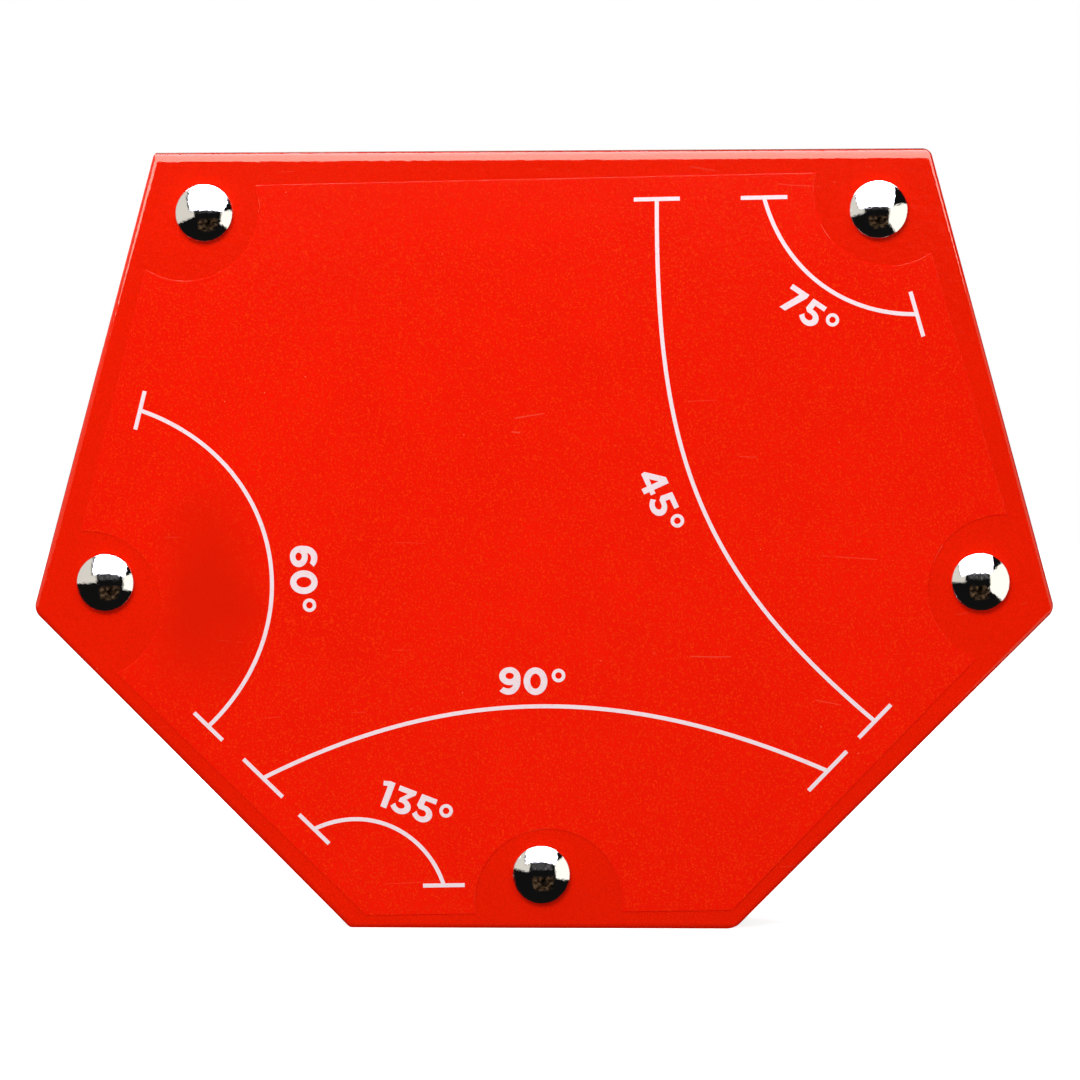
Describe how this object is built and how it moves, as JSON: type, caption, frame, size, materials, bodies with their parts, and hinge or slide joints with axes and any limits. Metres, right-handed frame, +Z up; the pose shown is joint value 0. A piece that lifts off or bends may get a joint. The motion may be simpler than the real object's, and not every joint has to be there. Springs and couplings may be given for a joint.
{
  "type": "welding magnet holder",
  "caption": "Flat magnetic holder that sets steel pieces at fixed angles for welding: red steel plates riveted over a magnet core, with angle marks printed on the front.",
  "frame": {"origin": "middle of the bounding box's underside, on the surface that the holder stands on", "axes": "+X to the right across the width, as seen by someone who reads the label; -Y out of the printed front face; +Z up, from the short bottom edge to the long top edge"},
  "size_m": [0.1356, 0.0238, 0.1035],
  "materials": {
    "front_paint": "gloss",
    "rear_paint": "gloss",
    "label_film": "semi-gloss printed film",
    "core_plastic": "matt moulded",
    "rivet_plating": "polished plating on steel",
    "sleeve_metal": "turned",
    "ferrite": "ground sintered ferrite"
  },
  "bodies": {
    "root": {"front_plate": "front_paint", "rear_plate": "rear_paint", "front_label": "label_film", "core_frame": "core_plastic", "rivet_top_left": "rivet_plating", "rivet_top_right": "rivet_plating", "rivet_side_left": "rivet_plating", "rivet_side_right": "rivet_plating", "rivet_bottom": "rivet_plating", "spacer_top_left": "sleeve_metal", "spacer_top_right": "sleeve_metal", "spacer_side_left": "sleeve_metal", "spacer_side_right": "sleeve_metal", "spacer_bottom": "sleeve_metal", "magnet_lower_left": "ferrite", "magnet_lower_right": "ferrite", "magnet_middle_left": "ferrite", "magnet_middle_centre": "ferrite", "magnet_middle_right": "ferrite", "magnet_upper_left": "ferrite", "magnet_upper_centre": "ferrite", "magnet_upper_right": "ferrite"}
  },
  "joints": []
}
